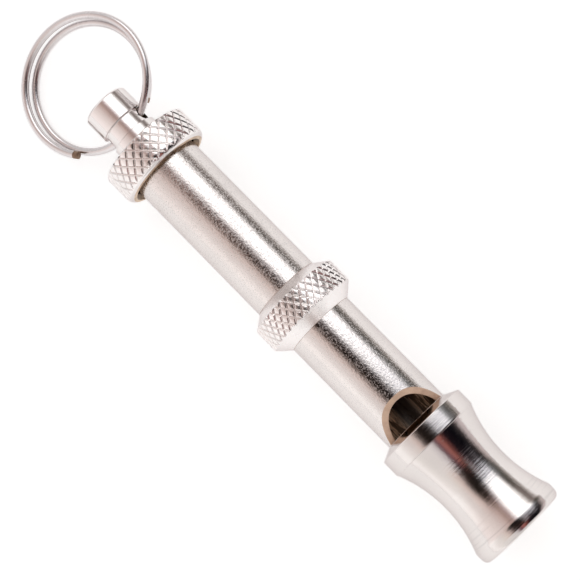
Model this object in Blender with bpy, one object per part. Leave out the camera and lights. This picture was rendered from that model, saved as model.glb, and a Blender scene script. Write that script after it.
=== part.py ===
"""Adjustable high-frequency dog training whistle with a split ring.

The whistle lies on its side.  +X points out of the mouth end, +Z out of the sound window.
A station is a distance from the mouth end, back along the whistle towards the ring.
"""

from math import asin, ceil, cos, degrees, floor, hypot, pi, radians, sin, sqrt

import bmesh
import bpy
from mathutils import Matrix, Vector

MM = 0.001

# ---- overall sizes, mm ------------------------------------------------------------------
WHISTLE_LENGTH = 80.0    # mouth end to the top of the knob; the sleeve takes up any change
TUBE_R = 5.0             # barrel and sleeve
TUBE_WALL = 0.7
COLLAR_STEP = 1.9        # mouthpiece collar, lock nut and cap all stand this far off the tube

# ---- clearances, mm ---------------------------------------------------------------------
PRESS_GAP = 0.05         # radial, between pieces that are pressed or soldered together
RUN_GAP = 0.08           # radial, between pieces that turn or slide in each other
FACE_GAP = 0.1           # axial, between shoulders that meet
SEAL_GAP = 0.03          # radial, seal to bore

# ---- mouthpiece, mm ---------------------------------------------------------------------
LIP_STEP = 0.24          # the lip is this much under the collar's radius
LIP_ROUND = 0.5          # radial size of the lip's rounding
LIP_WIDE_AT = 0.95       # station where the lip's rounding ends
LIP_LAND = 1.0           # nearly straight length behind the rounding
LIP_CROWN = 0.02         # how far that length bows out
WAIST_STEP = 0.3         # the waist stands this far off the tube
WAIST_AT = 8.9           # station of the waist
SWEEP_END = 16.2         # station where the concave sweep meets the collar
SWEEP_EDGE = 0.12        # step left where they meet
SWEEP_STEPS = 10
COLLAR_LENGTH = 2.6
REAR_CONE = 0.9          # length of the cone behind the collar
REAR_LAND = 0.35         # wall left around the barrel at the small end of the cone
PLUG_WALL = 1.6          # mouthpiece wall around the plug, at the waist
PLUG_PROUD = 0.15        # the plug stands this far out of the lip
SOCKET_DEPTH = 5.4       # how far the barrel goes into the mouthpiece
WINDWAY_DEPTH = 0.9      # the plug's flat lies this far under its round

# ---- barrel and sound window, mm --------------------------------------------------------
BARREL_SHOWN = 18.0      # mouthpiece to the barrel's end
WINDOW_LENGTH = 4.5      # mouthpiece to where the window runs out at the top of the barrel
WINDOW_SLOPE = 1.45      # length of the cut along the barrel for each unit of its depth

# ---- threaded bush, mm ------------------------------------------------------------------
BUSH_SETBACK = 0.8       # window's end to the bush's face
BUSH_WALL = 0.55         # under the thread's root
THREAD_ROOM = 0.1        # radial, thread crest to the inside of the tube
THREAD_DEPTH = 0.45
THREAD_PITCH = 1.0
THREAD_START = 1.0       # plain neck between the barrel's end and the thread
BUSH_TAIL = 0.8          # plain end behind the thread
BUSH_SHORT = 12.0        # least distance from the bush's end to the cap's shoulder

# ---- lock nut, mm -----------------------------------------------------------------------
NUT_LENGTH = 6.5
NUT_LOW_CONE = 1.7
NUT_TOP_CONE = 1.4
NUT_FACE_STEP = 0.05     # the cones end this far off the tube
KNURL_DEPTH = 0.28       # the same on the nut and the cap
NUT_TEETH = 36           # diamonds round the nut
NUT_KNURL_STEP = 0.78    # axial distance between rows, half a diamond

# ---- end cap, mm ------------------------------------------------------------------------
CAP_COLLAR = 4.75
CAP_TEETH = 28           # diamonds round the cap, coarser than the nut's
CAP_KNURL_STEP = 0.8
CAP_ROUND = 1.2          # length of the rounded lower corner
SKIRT_GAP = 0.22         # radial, skirt to sleeve
SKIRT_FLARE = 0.55       # the skirt's mouth opens out by this much, over this length
SKIRT_WALL = 0.2         # left at the very edge
SKIRT_DEPTH = 1.9
SLEEVE_SEAT = 3.4        # from the skirt's edge to the sleeve's shoulder
BOSS_R = 3.44
BOSS_LENGTH = 1.95
NECK_DEPTH = 0.41        # radial depth of the groove between boss and knob
NECK_LAND = 0.08         # neck left on each side of the eye
KNOB_R = 3.44
KNOB_LENGTH = 3.7
KNOB_CHAMFER = 0.28
ROD_SOCKET = 2.4         # depth of the rod's hole in the cap

# ---- piston, mm -------------------------------------------------------------------------
PISTON_SETBACK = 1.0     # bush face to piston face when the sleeve is screwed home
PISTON_LENGTH = 5.4
PISTON_GROOVE_AT = 2.6   # from the face to the seal groove
PISTON_GROOVE = 1.5
PISTON_GROOVE_DEPTH = 0.7
ROD_R = 1.5
ROD_BITE = 3.6           # depth of the rod's hole in the piston

# ---- split ring, mm and degrees ---------------------------------------------------------
RING_OD = 20.0
WIRE_R = 0.55
STRAND_GAP = 0.1
RING_SPLAY = 0.45        # away from the eye, one turn lies this far out and the other in
SPLAY_FROM_DEG = 18.0    # the turns start to part this far round from the eye
SPLAY_OVER_DEG = 90.0    # and are fully apart after this much more
RING_SKEW = 1.0          # the far side of the sprung ring sits this far to one side
EYE_CLEARANCE = 0.1      # left round the bent wire in the cross hole
EYE_TILT_DEG = 20.0      # turn of the cross hole about the whistle's axis
RING_DROP_DEG = 11.0     # how far the ring hangs below the whistle's axis
RING_START_DEG = -52.0   # first cut end, measured round the ring from the neck
END_CLEARANCE = 0.42     # last cut end to the knob
WIRE_SIDES = 8
RING_STEPS = 96

SIDES = 40               # sides of the plain round pieces
NUT_SIDES = 2 * NUT_TEETH
CAP_SIDES = 2 * CAP_TEETH

# ---- sizes that follow from the ones above ----------------------------------------------
COLLAR_R = TUBE_R + COLLAR_STEP
TUBE_BORE_R = TUBE_R - TUBE_WALL
LIP_R = COLLAR_R - LIP_STEP
WAIST_R = TUBE_R + WAIST_STEP
PLUG_R = WAIST_R - PLUG_WALL
WINDWAY_FLAT = PLUG_R - WINDWAY_DEPTH
COLLAR_END = SWEEP_END + COLLAR_LENGTH
MOUTHPIECE_END = COLLAR_END + REAR_CONE
BARREL_START = MOUTHPIECE_END - SOCKET_DEPTH
BARREL_END = MOUTHPIECE_END + BARREL_SHOWN
WINDOW_TIP = MOUTHPIECE_END + WINDOW_LENGTH
NUT_START = BARREL_END + FACE_GAP
NUT_END = NUT_START + NUT_LENGTH
NUT_FACE_R = TUBE_R + NUT_FACE_STEP
SLEEVE_START = NUT_END + FACE_GAP

RING_MEAN_R = 0.5 * RING_OD - WIRE_R
STRAND_PITCH = 2.0 * WIRE_R + STRAND_GAP
NECK_R = BOSS_R - NECK_DEPTH
INNER_TURN_R = RING_MEAN_R - RING_SPLAY
RING_END_DEG = degrees(asin((KNOB_R + END_CLEARANCE) / (INNER_TURN_R - WIRE_R))) - 720.0
CROSSOVER_DEG = (RING_END_DEG + 357.0, RING_START_DEG - 360.0)
EYE_SAG = RING_MEAN_R - sqrt(RING_MEAN_R ** 2 - NECK_R ** 2)
EYE_DRIFT = (STRAND_PITCH * degrees(asin(NECK_R / RING_MEAN_R))
             / (CROSSOVER_DEG[0] - CROSSOVER_DEG[1]))
EYE_R = WIRE_R + hypot(0.5 * EYE_SAG, EYE_DRIFT) + EYE_CLEARANCE
EYE_AXIS = Vector((0.0, cos(radians(EYE_TILT_DEG)), sin(radians(EYE_TILT_DEG))))

NECK_LENGTH = 2.0 * (EYE_R + NECK_LAND)
NECK_END = WHISTLE_LENGTH - KNOB_LENGTH
NECK_START = NECK_END - NECK_LENGTH
EYE_STATION = 0.5 * (NECK_START + NECK_END)
CAP_FACE = NECK_START - BOSS_LENGTH
CAP_START = CAP_FACE - CAP_COLLAR
SKIRT_R = TUBE_R + SKIRT_GAP
CAP_EDGE_R = SKIRT_R + SKIRT_FLARE + SKIRT_WALL
SEAT_STATION = CAP_START + SLEEVE_SEAT
SLEEVE_END = SEAT_STATION - FACE_GAP

BUSH_START = WINDOW_TIP + BUSH_SETBACK
THREAD_MAJOR_R = TUBE_BORE_R - THREAD_ROOM
THREAD_ROOT_R = THREAD_MAJOR_R - THREAD_DEPTH
BUSH_BORE_R = THREAD_ROOT_R - BUSH_WALL
THREAD_FROM = BARREL_END + THREAD_START
THREAD_TURNS = floor((SEAT_STATION - BUSH_SHORT - BUSH_TAIL - THREAD_FROM) / THREAD_PITCH - 1.5)
BUSH_END = THREAD_FROM + (THREAD_TURNS + 1.5) * THREAD_PITCH + BUSH_TAIL

PISTON_R = BUSH_BORE_R - RUN_GAP
PISTON_START = BUSH_START + PISTON_SETBACK
PISTON_END = PISTON_START + PISTON_LENGTH
ROD_START = PISTON_END - ROD_BITE
ROD_END = SEAT_STATION + ROD_SOCKET
SEAL_START = PISTON_START + PISTON_GROOVE_AT


def at(station, y=0.0, z=0.0):
    """A point in metres from a station and two heights in millimetres."""
    return Vector((-station * MM, y * MM, z * MM))


def clear_scene():
    for obj in list(bpy.data.objects):
        bpy.data.objects.remove(obj, do_unlink=True)


def material(name, colour, roughness, metallic):
    mat = bpy.data.materials.new(name)
    mat.use_nodes = True
    shader = mat.node_tree.nodes["Principled BSDF"]
    shader.inputs["Base Color"].default_value = (*colour, 1.0)
    shader.inputs["Roughness"].default_value = roughness
    shader.inputs["Metallic"].default_value = metallic
    mat.diffuse_color = (*colour, 1.0)
    return mat


def finish(name, bm, origin, mat, smooth_deg=32.0):
    """Turn a bmesh, drawn in stations, into an object whose origin lies at the given point."""
    bmesh.ops.remove_doubles(bm, verts=bm.verts, dist=1e-7)
    bmesh.ops.triangulate(bm, faces=bm.faces)
    bmesh.ops.recalc_face_normals(bm, faces=bm.faces)
    bmesh.ops.translate(bm, verts=bm.verts, vec=-origin)
    mesh = bpy.data.meshes.new(name)
    bm.to_mesh(mesh)
    bm.free()
    obj = bpy.data.objects.new(name, mesh)
    obj.location = origin
    bpy.context.scene.collection.objects.link(obj)
    if mat is not None:
        mesh.materials.append(mat)
    mesh.shade_smooth()
    mesh.set_sharp_from_angle(angle=radians(smooth_deg))
    return obj


def ring_of_verts(bm, station, radius, sides, phase=0.5):
    """One loop of vertices; radius may be a list that repeats round the loop."""
    radii = radius if isinstance(radius, (list, tuple)) else [radius]
    loop = []
    for i in range(sides):
        turn = 2.0 * pi * (i + phase) / sides
        r = radii[i % len(radii)]
        loop.append(bm.verts.new(at(station, r * sin(turn), -r * cos(turn))))
    return loop


def bridge(bm, first, second, flip=False):
    """Quads between two loops, each split along the chosen diagonal."""
    n = len(first)
    for i in range(n):
        j = (i + 1) % n
        a, b, c, d = first[i], first[j], second[j], second[i]
        if flip == bool(i % 2):
            bm.faces.new((a, b, c))
            bm.faces.new((a, c, d))
        else:
            bm.faces.new((a, b, d))
            bm.faces.new((b, c, d))


def turned(bm, profile, sides):
    """A turned solid from (station, radius) points; a radius of 0 closes it on the axis."""
    loops = []
    for station, radius in profile:
        if radius == 0.0:
            loops.append(bm.verts.new(at(station)))
        else:
            loops.append(ring_of_verts(bm, station, radius, sides))
    closed = profile[0][1] != 0.0
    pairs = list(zip(loops, loops[1:])) + ([(loops[-1], loops[0])] if closed else [])
    for first, second in pairs:
        if isinstance(first, list) and isinstance(second, list):
            for i in range(sides):
                j = (i + 1) % sides
                bm.faces.new((first[i], first[j], second[j], second[i]))
        else:
            centre, loop = (first, second) if isinstance(second, list) else (second, first)
            for i in range(sides):
                bm.faces.new((centre, loop[i], loop[(i + 1) % sides]))
    return loops


def turned_object(name, profile, mat, sides=SIDES):
    bm = bmesh.new()
    turned(bm, profile, sides)
    return finish(name, bm, at(profile[0][0]), mat)


def cut(target, cutter):
    """Subtract one object from another; the cutter stays in the file as a hidden wire."""
    boolean = target.modifiers.new("cut_" + cutter.name, "BOOLEAN")
    boolean.operation = "DIFFERENCE"
    boolean.solver = "EXACT"
    boolean.object = cutter
    bpy.context.view_layer.update()
    graph = bpy.context.evaluated_depsgraph_get()
    mesh = bpy.data.meshes.new_from_object(target.evaluated_get(graph), depsgraph=graph)
    mesh.name = target.name
    target.modifiers.clear()
    old, target.data = target.data, mesh
    bpy.data.meshes.remove(old)
    bpy.data.objects.remove(cutter, do_unlink=True)
    mesh.shade_smooth()
    mesh.set_sharp_from_angle(angle=radians(32.0))
    return target


def block(name, corners):
    """A cutter: a prism along Y from (station, height) corners."""
    bm = bmesh.new()
    reach = 3.0 * COLLAR_R
    near = [bm.verts.new(at(s, -reach, z)) for s, z in corners]
    far = [bm.verts.new(at(s, reach, z)) for s, z in corners]
    bm.faces.new(near)
    bm.faces.new(list(reversed(far)))
    n = len(corners)
    for i in range(n):
        bm.faces.new((near[i], near[(i + 1) % n], far[(i + 1) % n], far[i]))
    return finish(name, bm, at(corners[0][0]), None)


def rod_cutter(name, centre, direction, radius, reach, sides=24):
    bm = bmesh.new()
    spin = Vector((0, 0, 1)).rotation_difference(direction).to_matrix().to_4x4()
    bmesh.ops.create_cone(bm, cap_ends=True, segments=sides, radius1=radius * MM,
                          radius2=radius * MM, depth=reach * MM,
                          matrix=Matrix.Translation(centre) @ spin)
    return finish(name, bm, centre, None)


# ---- the pieces -------------------------------------------------------------------------

def mouthpiece(mat):
    """Flared mouthpiece: rounded lip, concave sweep, plain collar, cone down to the barrel."""
    rise = COLLAR_R - SWEEP_EDGE - WAIST_R
    span = SWEEP_END - WAIST_AT
    sweep_r = (span * span + rise * rise) / (2.0 * rise)
    land_end = LIP_WIDE_AT + LIP_LAND
    lip_rise = LIP_R - LIP_CROWN - WAIST_R
    lip_span = WAIST_AT - land_end
    lip_sweep_r = (lip_span * lip_span + lip_rise * lip_rise) / (2.0 * lip_rise)
    outer = [(LIP_WIDE_AT * (1.0 - cos(radians(t))), LIP_R - LIP_ROUND * (1.0 - sin(radians(t))))
             for t in (0.0, 30.0, 60.0, 90.0)]
    outer.append((LIP_WIDE_AT + 0.5 * LIP_LAND, LIP_R + LIP_CROWN))
    for i in range(SWEEP_STEPS + 1):
        station = land_end + (SWEEP_END - land_end) * i / SWEEP_STEPS
        away = station - WAIST_AT
        bow_r = sweep_r if away > 0.0 else lip_sweep_r
        radius = WAIST_R + bow_r - sqrt(bow_r ** 2 - away * away)
        outer.append((station, min(radius, COLLAR_R)))
    outer += [(SWEEP_END + 0.05, COLLAR_R), (COLLAR_END, COLLAR_R),
              (MOUTHPIECE_END, TUBE_R + REAR_LAND)]
    socket = TUBE_R + PRESS_GAP
    bottom = BARREL_START - FACE_GAP
    inner = [(MOUTHPIECE_END, socket), (bottom, socket),
             (bottom, PLUG_R + PRESS_GAP), (0.0, PLUG_R + PRESS_GAP)]
    return turned_object("mouthpiece", outer + inner, mat)


def windway_plug(mat):
    """Stepped plug that closes the mouthpiece bore except for a slit over its flat."""
    step = BARREL_START + FACE_GAP
    profile = [(-PLUG_PROUD, 0.0), (-PLUG_PROUD, PLUG_R), (step, PLUG_R),
               (step, TUBE_BORE_R - PRESS_GAP), (MOUTHPIECE_END, TUBE_BORE_R - PRESS_GAP),
               (MOUTHPIECE_END, 0.0)]
    plug = turned_object("windway_plug", profile, mat)
    over = 2.0
    flat = block("flat_cutter", [(-over, WINDWAY_FLAT), (MOUTHPIECE_END + over, WINDWAY_FLAT),
                                 (MOUTHPIECE_END + over, COLLAR_R), (-over, COLLAR_R)])
    return cut(plug, flat)


def lower_barrel(mat):
    """Thin tube with the slanting sound window cut into its upper side."""
    profile = [(BARREL_START, TUBE_R), (BARREL_END, TUBE_R), (BARREL_END, TUBE_BORE_R),
               (BARREL_START, TUBE_BORE_R)]
    barrel = turned_object("lower_barrel", profile, mat)
    over = 2.0
    foot = TUBE_R - WINDOW_LENGTH / WINDOW_SLOPE
    top = TUBE_R + over
    window = block("window_cutter", [(MOUTHPIECE_END, top), (MOUTHPIECE_END, foot),
                                     (WINDOW_TIP, TUBE_R),
                                     (WINDOW_TIP + WINDOW_SLOPE * over, top)])
    return cut(barrel, window)


def thread_loops(bm, start, turns):
    """A right-hand V thread as one strip of facets; returns its two plain end loops."""
    root = THREAD_ROOT_R
    rows = 2 * turns + 1
    grid = []
    for row in range(rows):
        line = []
        for i in range(SIDES):
            turn = 2.0 * pi * (i + 0.5) / SIDES
            station = start + THREAD_PITCH * (0.5 * row + i / SIDES)
            radius = root if row % 2 == 0 else THREAD_MAJOR_R
            line.append(bm.verts.new(at(station, radius * sin(turn), -radius * cos(turn))))
        grid.append(line)
    for row in range(rows - 1):
        for i in range(SIDES - 1):
            bm.faces.new((grid[row][i], grid[row][i + 1], grid[row + 1][i + 1], grid[row + 1][i]))
    for row in range(rows - 3):
        bm.faces.new((grid[row][-1], grid[row + 2][0], grid[row + 3][0], grid[row + 1][-1]))
    front = ring_of_verts(bm, start - 0.3 * THREAD_PITCH, root, SIDES)
    back = ring_of_verts(bm, start + (turns + 1.3) * THREAD_PITCH, root, SIDES)
    for i in range(SIDES - 1):
        bm.faces.new((front[i], front[i + 1], grid[0][i + 1], grid[0][i]))
        bm.faces.new((grid[-1][i], grid[-1][i + 1], back[i + 1], back[i]))
    bm.faces.new((front[-1], front[0], grid[0][0], grid[0][-1]))
    bm.faces.new((grid[0][-1], grid[0][0], grid[1][0]))
    bm.faces.new((grid[0][-1], grid[1][0], grid[2][0]))
    bm.faces.new((back[0], back[-1], grid[-1][-1]))
    bm.faces.new((back[0], grid[-1][-1], grid[-1][0]))
    bm.faces.new((grid[-1][0], grid[-1][-1], grid[-2][-1]))
    bm.faces.new((grid[-1][0], grid[-2][-1], grid[-3][-1]))
    return front, back


def thread_bush(mat):
    """Hollow bush soldered into the barrel; its thread carries the nut and the sleeve."""
    bm = bmesh.new()
    body = TUBE_BORE_R - PRESS_GAP
    root = THREAD_ROOT_R
    shoulder = BARREL_END - 0.2
    front, back = thread_loops(bm, THREAD_FROM, THREAD_TURNS)
    outline = [ring_of_verts(bm, s, r, SIDES) for s, r in
               ((BUSH_END, root), (BUSH_END, BUSH_BORE_R), (BUSH_START, BUSH_BORE_R),
                (BUSH_START, body), (shoulder, body), (shoulder, root))]
    chain = [back] + outline + [front]
    for first, second in zip(chain, chain[1:]):
        for i in range(SIDES):
            j = (i + 1) % SIDES
            bm.faces.new((first[i], first[j], second[j], second[i]))
    return finish("thread_bush", bm, at(BUSH_START), mat)


def knurled(bm, start, end, tip_r, sides, step):
    """Loops of a diamond knurl between two stations, as pyramids on a slanting grid."""
    rows = max(2, 2 * ceil((end - start) / (2.0 * step) - 0.25))
    low = tip_r - KNURL_DEPTH
    loops = []
    for row in range(rows + 1):
        station = start + (end - start) * row / rows
        radii = [low, tip_r] if row % 2 == 0 else [tip_r, low]
        loops.append(ring_of_verts(bm, station, radii, sides))
    for row in range(rows):
        bridge(bm, loops[row], loops[row + 1], flip=bool(row % 2 == 0))
    return loops[0], loops[-1]


def lock_nut(mat):
    """Knurled nut with a cone at each end, running on the bush thread."""
    bm = bmesh.new()
    bore = THREAD_MAJOR_R + RUN_GAP
    first, last = knurled(bm, NUT_START + NUT_LOW_CONE, NUT_END - NUT_TOP_CONE, COLLAR_R,
                          NUT_SIDES, NUT_KNURL_STEP)
    chain = [last] + [ring_of_verts(bm, s, r, NUT_SIDES) for s, r in
                      ((NUT_END, NUT_FACE_R), (NUT_END, bore), (NUT_START, bore),
                       (NUT_START, NUT_FACE_R))] + [first]
    for a, b in zip(chain, chain[1:]):
        bridge(bm, a, b)
    return finish("lock_nut", bm, at(NUT_START), mat)


def upper_sleeve(mat):
    """Thin tube that screws over the bush and carries the cap."""
    profile = [(SLEEVE_START, TUBE_R), (SLEEVE_END, TUBE_R), (SLEEVE_END, TUBE_BORE_R),
               (SLEEVE_START, TUBE_BORE_R)]
    return turned_object("upper_sleeve", profile, mat)


def end_cap(mat):
    """Knurled cap with a boss, a necked knob and the cross hole for the ring."""
    bm = bmesh.new()
    top = WHISTLE_LENGTH
    first, last = knurled(bm, CAP_START + CAP_ROUND, CAP_FACE, COLLAR_R, CAP_SIDES,
                          CAP_KNURL_STEP)
    seat = TUBE_R + PRESS_GAP
    rod_hole = ROD_R + PRESS_GAP
    socket_end = SEAT_STATION + ROD_SOCKET + FACE_GAP
    outside = ((CAP_FACE, BOSS_R), (NECK_START, BOSS_R), (NECK_START + 0.1, NECK_R),
               (NECK_END - 0.1, NECK_R), (NECK_END, KNOB_R), (top - KNOB_CHAMFER, KNOB_R),
               (top, KNOB_R - KNOB_CHAMFER))
    inside = ((socket_end, rod_hole), (SEAT_STATION, rod_hole), (SEAT_STATION, seat),
              (CAP_START + SKIRT_DEPTH, seat), (CAP_START + SKIRT_DEPTH, SKIRT_R),
              (CAP_START + SKIRT_FLARE, SKIRT_R), (CAP_START, SKIRT_R + SKIRT_FLARE),
              (CAP_START, CAP_EDGE_R),
              (CAP_START + 0.35 * CAP_ROUND, 0.35 * CAP_EDGE_R + 0.65 * COLLAR_R - 0.1))
    out_loops = [ring_of_verts(bm, s, r, CAP_SIDES) for s, r in outside]
    in_loops = [ring_of_verts(bm, s, r, CAP_SIDES) for s, r in inside]
    for a, b in zip([last] + out_loops, out_loops):
        bridge(bm, a, b)
    for a, b in zip(in_loops, in_loops[1:] + [first]):
        bridge(bm, a, b)
    for loop, station in ((out_loops[-1], top), (in_loops[0], socket_end)):
        centre = bm.verts.new(at(station))
        for i in range(CAP_SIDES):
            bm.faces.new((centre, loop[i], loop[(i + 1) % CAP_SIDES]))
    cap = finish("end_cap", bm, at(CAP_START), mat)
    eye = rod_cutter("eye_cutter", at(EYE_STATION), EYE_AXIS, EYE_R, 4.0 * KNOB_R)
    return cut(cap, eye)


def piston_rod(mat):
    profile = [(ROD_START + FACE_GAP, 0.0), (ROD_START + FACE_GAP, ROD_R), (ROD_END, ROD_R),
               (ROD_END, 0.0)]
    return turned_object("piston_rod", profile, mat, 24)


def piston_head(mat):
    """Piston that closes the far end of the sound chamber, with a groove for its seal."""
    groove = PISTON_R - PISTON_GROOVE_DEPTH
    seal_end = SEAL_START + PISTON_GROOVE
    hole = ROD_R + PRESS_GAP
    profile = [(PISTON_START, 0.0), (PISTON_START, PISTON_R), (SEAL_START, PISTON_R),
               (SEAL_START, groove), (seal_end, groove), (seal_end, PISTON_R),
               (PISTON_END, PISTON_R), (PISTON_END, hole), (ROD_START, hole), (ROD_START, 0.0)]
    return turned_object("piston_head", profile, mat)


def piston_seal(mat):
    """Rubber seal in the piston's groove."""
    inner = PISTON_R - PISTON_GROOVE_DEPTH + RUN_GAP
    outer = BUSH_BORE_R - SEAL_GAP
    start, end = SEAL_START + FACE_GAP, SEAL_START + PISTON_GROOVE - FACE_GAP
    soft = 0.15
    profile = [(start, inner), (start, outer - soft), (start + soft, outer),
               (end - soft, outer), (end, outer - soft), (end, inner)]
    return turned_object("piston_seal", profile, mat)


def ring_axes():
    """The ring's three directions: along the eye, out to its centre, and across its turns."""
    drop = radians(RING_DROP_DEG)
    lift = Vector((1.0, 0.0, 0.0)).cross(EYE_AXIS)
    out = Vector((-cos(drop), 0.0, 0.0)) - sin(drop) * lift
    return EYE_AXIS, out, EYE_AXIS.cross(out)


def ring_point(turn_deg):
    """A point of the wire's centre line, measured from the middle of the eye."""
    along, out, across = ring_axes()
    begin, end = CROSSOVER_DEG
    through = (begin + 360.0) / (begin - end)
    soft = 9.0

    def ramp(angle):
        return min(1.0, max(0.0, (begin - angle) / (begin - end)))

    shift = sum(ramp(turn_deg + soft * k / 4.0) for k in range(-4, 5)) / 9.0
    level = STRAND_PITCH * (through - shift)
    from_eye = turn_deg + 360.0
    part = min(1.0, max(0.0, (abs(from_eye) - SPLAY_FROM_DEG) / SPLAY_OVER_DEG))
    open_by = RING_SPLAY * part * part * (3.0 - 2.0 * part)
    radius = RING_MEAN_R + (open_by if from_eye > 0.0 else -open_by)
    angle = radians(turn_deg)
    flat = (RING_MEAN_R - 0.5 * EYE_SAG) * out
    flat += radius * (sin(angle) * along - cos(angle) * out)
    flat -= 0.5 * RING_SKEW * (1.0 - cos(angle)) * along
    return flat + level * across


def split_ring(mat):
    """One length of spring wire wound nearly twice round, threaded through the neck."""
    bm = bmesh.new()
    points = [ring_point(RING_START_DEG + (RING_END_DEG - RING_START_DEG) * i / RING_STEPS)
              for i in range(RING_STEPS + 1)]
    across = ring_axes()[2]
    loops = []
    for i, point in enumerate(points):
        ahead = points[min(i + 1, RING_STEPS)] - points[max(i - 1, 0)]
        tangent = ahead.normalized()
        side = tangent.cross(across).normalized()
        up = side.cross(tangent)
        loop = []
        for k in range(WIRE_SIDES):
            turn = 2.0 * pi * (k + 0.5) / WIRE_SIDES
            vert = point + WIRE_R * (cos(turn) * side + sin(turn) * up)
            loop.append(bm.verts.new(at(EYE_STATION) + vert * MM))
        loops.append(loop)
    for a, b in zip(loops, loops[1:]):
        for k in range(WIRE_SIDES):
            j = (k + 1) % WIRE_SIDES
            bm.faces.new((a[k], a[j], b[j], b[k]))
    bm.faces.new(loops[0])
    bm.faces.new(list(reversed(loops[-1])))
    return finish("split_ring", bm, at(EYE_STATION), mat, 50.0)


def stand_on_origin(objects):
    """Move the pieces together so that the part's base is centred on the world origin."""
    bpy.context.view_layer.update()
    points = [obj.matrix_world @ v.co for obj in objects for v in obj.data.vertices]
    low = Vector([min(p[k] for p in points) for k in range(3)])
    high = Vector([max(p[k] for p in points) for k in range(3)])
    shift = Vector((-0.5 * (low.x + high.x), -0.5 * (low.y + high.y), -low.z))
    for obj in objects:
        obj.location += shift


def build():
    clear_scene()
    nickel = ((0.79, 0.75, 0.74), 0.18, 1.0)
    brass = ((0.72, 0.55, 0.36), 0.32, 1.0)
    pieces = [
        mouthpiece(material("mouthpiece_nickel", *nickel)),
        windway_plug(material("plug_brass", *brass)),
        lower_barrel(material("barrel_nickel", *nickel)),
        thread_bush(material("bush_brass", (0.70, 0.53, 0.33), 0.38, 1.0)),
        lock_nut(material("nut_nickel", (0.76, 0.72, 0.71), 0.26, 1.0)),
        upper_sleeve(material("sleeve_nickel", *nickel)),
        end_cap(material("cap_nickel", (0.78, 0.74, 0.73), 0.2, 1.0)),
        piston_rod(material("rod_steel", (0.6, 0.6, 0.61), 0.3, 1.0)),
        piston_head(material("piston_brass", *brass)),
        piston_seal(material("seal_rubber", (0.03, 0.03, 0.032), 0.7, 0.0)),
        split_ring(material("ring_steel", (0.74, 0.72, 0.73), 0.16, 1.0)),
    ]
    stand_on_origin(pieces)


build()
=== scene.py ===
"""Visual model of the adjustable dog whistle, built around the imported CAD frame."""

from math import asin, atan2, ceil, cos, degrees, hypot, pi, radians, sin, sqrt

import bmesh
import bpy
from mathutils import Matrix, Vector


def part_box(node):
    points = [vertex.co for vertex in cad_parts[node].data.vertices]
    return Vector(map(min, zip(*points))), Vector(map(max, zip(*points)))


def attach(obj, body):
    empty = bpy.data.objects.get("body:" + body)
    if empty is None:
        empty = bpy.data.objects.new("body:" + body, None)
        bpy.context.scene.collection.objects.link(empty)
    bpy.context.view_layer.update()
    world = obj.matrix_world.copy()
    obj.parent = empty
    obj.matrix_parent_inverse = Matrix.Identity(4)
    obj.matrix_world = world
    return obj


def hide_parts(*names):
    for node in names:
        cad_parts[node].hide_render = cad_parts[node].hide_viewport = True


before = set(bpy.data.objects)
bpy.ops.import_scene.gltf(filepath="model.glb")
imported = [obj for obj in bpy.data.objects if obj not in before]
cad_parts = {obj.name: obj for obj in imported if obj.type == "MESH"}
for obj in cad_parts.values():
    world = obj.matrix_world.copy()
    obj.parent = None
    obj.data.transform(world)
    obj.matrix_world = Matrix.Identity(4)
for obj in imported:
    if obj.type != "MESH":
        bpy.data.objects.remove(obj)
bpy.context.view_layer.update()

MM = 0.001
MICRON = 0.000001

# ---- places taken from the frame ----------------------------------------------------------
MOUTH_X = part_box("mouthpiece")[1].x
_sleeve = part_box("upper_sleeve")
AXIS_Y = 0.5 * (_sleeve[0].y + _sleeve[1].y)
AXIS_Z = 0.5 * (_sleeve[0].z + _sleeve[1].z)


def span(node):
    """Stations, in mm back from the mouth end, where a CAD node starts and ends."""
    low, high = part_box(node)
    return (MOUTH_X - high.x) / MM, (MOUTH_X - low.x) / MM


MOUTHPIECE_END = span("mouthpiece")[1]
BARREL_END = span("lower_barrel")[1]
PLUG_START = span("windway_plug")[0]
BUSH_START, BUSH_END = span("thread_bush")
NUT_START, NUT_END = span("lock_nut")
SLEEVE_START, SLEEVE_END = span("upper_sleeve")
CAP_START, CAP_END = span("end_cap")
PISTON_START, PISTON_END = span("piston_head")
SEAL_START, SEAL_END = span("piston_seal")
ROD_START, ROD_END = span("piston_rod")

# ---- sizes in mm, as in the CAD unless a comment says otherwise ---------------------------
COLLAR_R = 6.9
COLLAR_END = MOUTHPIECE_END - 0.9
SWEEP_EDGE = 0.12
TUBE_R = 5.0
TUBE_BORE_R = 4.3
LIP_R = 6.66
LIP_WIDE_AT, LIP_LAND, LIP_CROWN = 0.95, 1.0, 0.02
LIP_ROUND = 0.54        # 0.04 more than in the CAD
WAIST_R = 5.3
WAIST_AT = 8.9
SWEEP_END = 16.2
PLUG_R = 3.7
PLUG_STEP = MOUTHPIECE_END - 5.3
WINDWAY_FLAT = 2.8
WINDWAY_EXIT = 3.8      # the flat rises to this at the window; the CAD's stays level
WINDOW_START = MOUTHPIECE_END - 0.55
WINDOW_TIP = 23.9       # 0.3 short of the CAD's, because this cut is fuller
WINDOW_ROUND = 1.3      # above 1 the cut is fuller than a flat slant
WINDOW_SLOPE = 1.45
BUSH_BORE_R = 3.2
THREAD_MAJOR_R = 4.2
THREAD_DEPTH = 0.45
THREAD_PITCH = 1.0
THREAD_TURNS = 17
NUT_LOW_CONE = 1.7
NUT_TOP_CONE = 1.4
KNURL_DEPTH = 0.25      # V grooves; the CAD has pyramids 0.28 high
GROOVE_HALF = 0.17      # half a groove's width, only in this model
CROWN_DROP = 0.03       # a worn diamond's edge below its middle, only in this model
NUT_TEETH, NUT_PERIOD = 36, 1.56
CAP_TEETH, CAP_PERIOD = 28, 1.6
CAP_FACE = CAP_START + 4.75
CAP_ROUND = 1.2
CAP_SEAT = CAP_START + 3.4
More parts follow.
